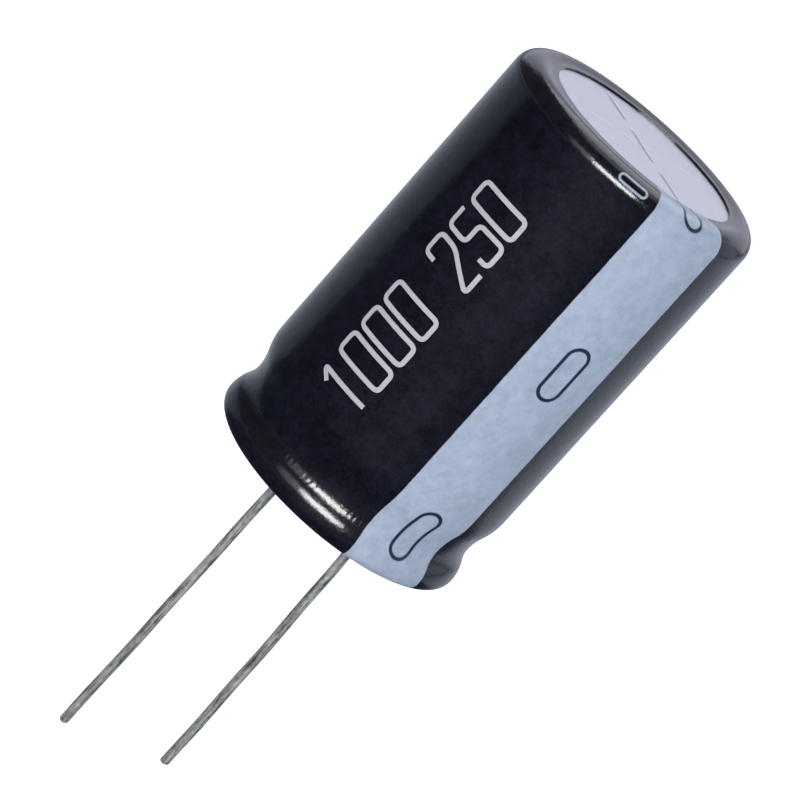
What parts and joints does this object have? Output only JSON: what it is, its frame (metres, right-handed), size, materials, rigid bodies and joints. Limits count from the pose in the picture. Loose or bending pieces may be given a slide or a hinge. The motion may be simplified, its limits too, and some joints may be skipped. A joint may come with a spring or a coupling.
{
  "type": "electrolytic capacitor",
  "caption": "Radial-lead aluminium electrolytic capacitor: a black-sleeved can with a scored vent, a rolled groove, a rubber seal and leads of unequal length.",
  "frame": {"origin": "centre of the seating plane, under the sleeve's lip, between the two leads", "axes": "+Z along the can's axis, up through the vented end; the leads point down -Z and lie on X, the negative one at +X"},
  "size_m": [0.0184, 0.0184, 0.0541],
  "materials": {
    "sleeve_film": "glossy black shrunk film",
    "can_aluminium": "drawn aluminium, dull satin",
    "seal_rubber": "matte moulded rubber",
    "tinned_wire": "tinned, drawn lengthwise",
    "tab_aluminium": "bright pressed aluminium",
    "anode_foil": "etched and formed, matte grey",
    "cathode_foil": "etched, satin",
    "separator_paper": "soaked kraft paper",
    "roll_tape": "thin polypropylene tape"
  },
  "bodies": {
    "root": {"sleeve": "sleeve_film", "can": "can_aluminium", "end_seal": "seal_rubber", "positive_lead": "tinned_wire", "negative_lead": "tinned_wire", "positive_tab": "tab_aluminium", "negative_tab": "tab_aluminium", "anode_foil": "anode_foil", "cathode_foil": "cathode_foil", "inner_separator": "separator_paper", "outer_separator": "separator_paper", "fixing_tape": "roll_tape"}
  },
  "joints": []
}
